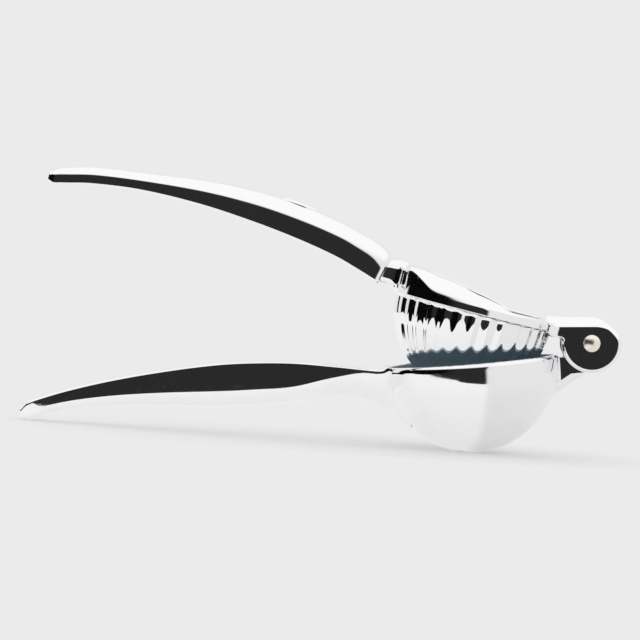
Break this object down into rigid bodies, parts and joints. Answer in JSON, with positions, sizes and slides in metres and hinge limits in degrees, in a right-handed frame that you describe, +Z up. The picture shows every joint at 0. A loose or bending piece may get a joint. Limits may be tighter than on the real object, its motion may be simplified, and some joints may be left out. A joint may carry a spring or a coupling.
{
  "type": "hinged lemon squeezer",
  "caption": "Chromed two-handled hinged citrus squeezer: a fluted press dome swings down into a round bowl lined with a pierced strainer cup.",
  "frame": {"origin": "middle of the small flat under the bowl, on the surface the squeezer stands on", "axes": "+Z up, +X from the handle tips towards the hinge, hinge axis along Y"},
  "size_m": [0.2376, 0.07, 0.1028],
  "materials": {
    "chrome": "polished",
    "blue_grey_plastic": "satin",
    "nickel": "polished",
    "nylon": "matte"
  },
  "bodies": {
    "lower": {"lower_arm": "chrome", "strainer_cup": "blue_grey_plastic"},
    "upper": {"upper_arm": "chrome", "hinge_pin": "nickel", "washer_front": "nylon", "washer_back": "nylon", "badge_plate": "chrome"}
  },
  "joints": [
    {"name": "arm_hinge", "type": "hinge", "parent": "lower", "child": "upper", "pos_m": [0.04676, 0, 0.04681], "axis": [0, 1, 0], "range_deg": [-19.1, 100]}
  ]
}
